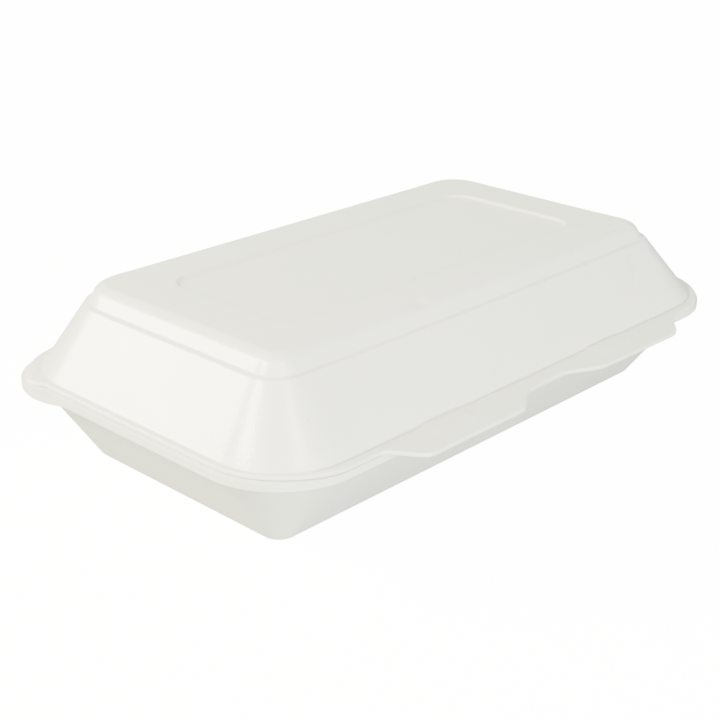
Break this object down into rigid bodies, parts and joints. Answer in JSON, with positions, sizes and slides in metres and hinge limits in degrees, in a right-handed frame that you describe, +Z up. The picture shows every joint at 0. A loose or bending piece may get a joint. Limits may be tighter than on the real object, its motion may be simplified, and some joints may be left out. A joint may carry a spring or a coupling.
{
  "type": "foam clamshell container",
  "caption": "Hinged foam food container: a tapered tray and a lid with a recessed top panel, two front latch tabs and a thin web hinge.",
  "frame": {"origin": "centre of the flat underside of the tray's floor, on the surface that it stands on", "axes": "+X along the long side, +Y towards the hinge with the latch tabs facing -Y, +Z up"},
  "size_m": [0.2404, 0.1478, 0.0606],
  "materials": {
    "foam": "satin",
    "pressed_foam": "satin"
  },
  "bodies": {
    "tray_body": {"tray": "foam", "hinge_web": "pressed_foam"},
    "lid_body": {"lid": "foam"}
  },
  "joints": [
    {"name": "lid_hinge", "type": "hinge", "parent": "tray_body", "child": "lid_body", "pos_m": [0, 0.0673, 0.03235], "axis": [-1, 0, 0], "range_deg": [0, 180], "deforming": ["hinge_web"]}
  ]
}
